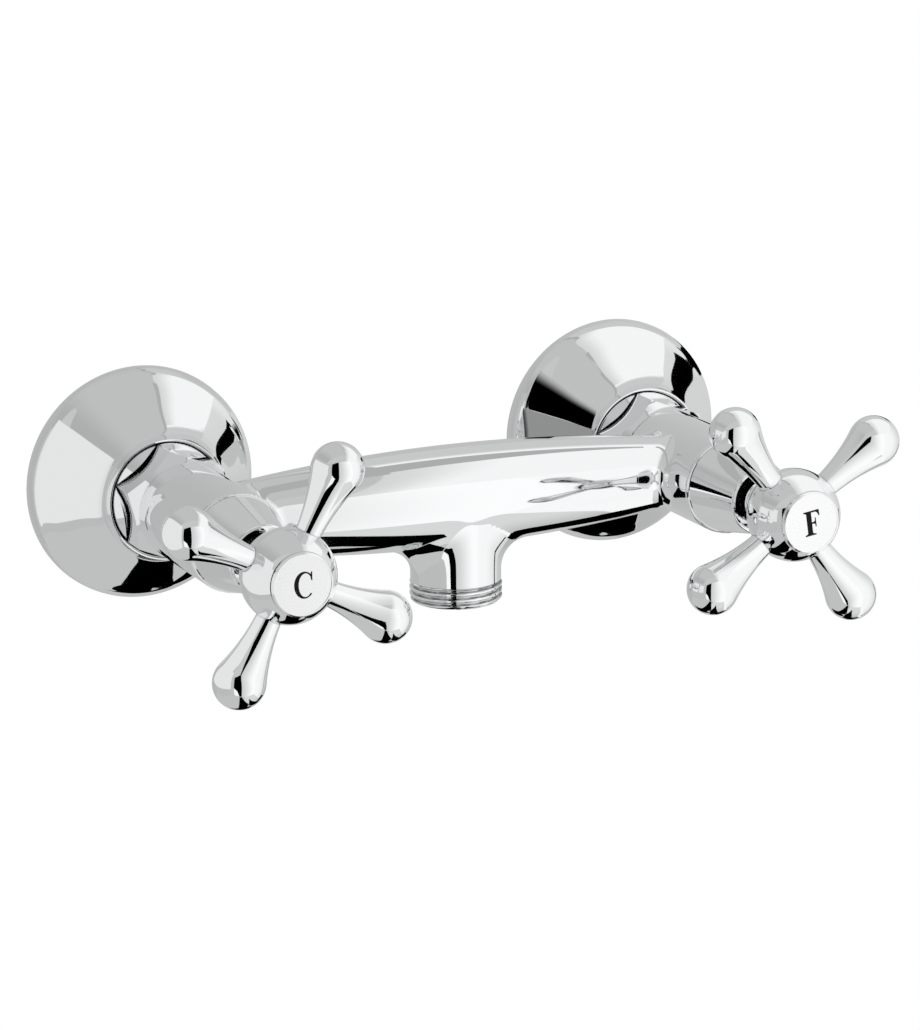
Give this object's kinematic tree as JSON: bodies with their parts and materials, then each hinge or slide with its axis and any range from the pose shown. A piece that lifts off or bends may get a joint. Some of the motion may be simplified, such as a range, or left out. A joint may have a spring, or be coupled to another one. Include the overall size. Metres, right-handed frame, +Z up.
{
  "type": "shower mixer",
  "caption": "Wall-mounted exposed shower mixer in polished chrome with two cross handles, bell escutcheons, union nuts and a threaded bottom outlet",
  "frame": {"origin": "middle between the two inlets on the wall plane", "axes": "+X to the right seen from the front, -Y out from the wall to the user, +Z up"},
  "size_m": [0.2186, 0.15, 0.0692],
  "materials": {
    "chrome": "polished plating on brass",
    "cap": "glossy white index cap",
    "letter": "black printed letter",
    "brass": "machined",
    "rubber": "moulded seal",
    "steel": "turned stainless"
  },
  "bodies": {
    "fixed": {"mixer_body": "chrome", "hot_wall_union": "brass", "hot_escutcheon": "chrome", "hot_union_nut": "chrome", "hot_union_gasket": "rubber", "hot_inlet_bush": "brass", "hot_headwork_body": "chrome", "hot_headwork_washer": "rubber", "hot_bonnet_cover": "chrome", "cold_wall_union": "brass", "cold_escutcheon": "chrome", "cold_union_nut": "chrome", "cold_union_gasket": "rubber", "cold_inlet_bush": "brass", "cold_headwork_body": "chrome", "cold_headwork_washer": "rubber", "cold_bonnet_cover": "chrome"},
    "hot_handle": {"hot_spindle": "brass", "hot_spindle_orings": "rubber", "hot_spindle_clip": "steel", "hot_handle_hub": "chrome", "hot_handle_arm_1": "chrome", "hot_handle_arm_2": "chrome", "hot_handle_arm_3": "chrome", "hot_handle_arm_4": "chrome", "hot_handle_screw": "steel", "hot_index_cap": "cap"},
    "hot_valve": {"hot_jumper": "brass", "hot_seat_washer": "rubber", "hot_washer_screw": "steel"},
    "cold_handle": {"cold_spindle": "brass", "cold_spindle_orings": "rubber", "cold_spindle_clip": "steel", "cold_handle_hub": "chrome", "cold_handle_arm_1": "chrome", "cold_handle_arm_2": "chrome", "cold_handle_arm_3": "chrome", "cold_handle_arm_4": "chrome", "cold_handle_screw": "steel", "cold_index_cap": "cap"},
    "cold_valve": {"cold_jumper": "brass", "cold_seat_washer": "rubber", "cold_washer_screw": "steel"}
  },
  "joints": [
    {"name": "hot_handle_turn", "type": "hinge", "parent": "fixed", "child": "hot_handle", "pos_m": [-0.075, -0.0825, 0], "axis": [0, -1, 0], "range_deg": [0, 675]},
    {"name": "hot_valve_slide", "type": "slide", "parent": "fixed", "child": "hot_valve", "axis": [0, -1, 0], "range_m": [0, 0.00375]},
    {"name": "cold_handle_turn", "type": "hinge", "parent": "fixed", "child": "cold_handle", "pos_m": [0.075, -0.0825, 0], "axis": [0, -1, 0], "range_deg": [0, 675]},
    {"name": "cold_valve_slide", "type": "slide", "parent": "fixed", "child": "cold_valve", "axis": [0, -1, 0], "range_m": [0, 0.00375]}
  ],
  "couplings": [
    {"joint": "hot_valve_slide", "follows": "hot_handle_turn", "m_per_rad": 0.000318},
    {"joint": "cold_valve_slide", "follows": "cold_handle_turn", "m_per_rad": 0.000318}
  ]
}
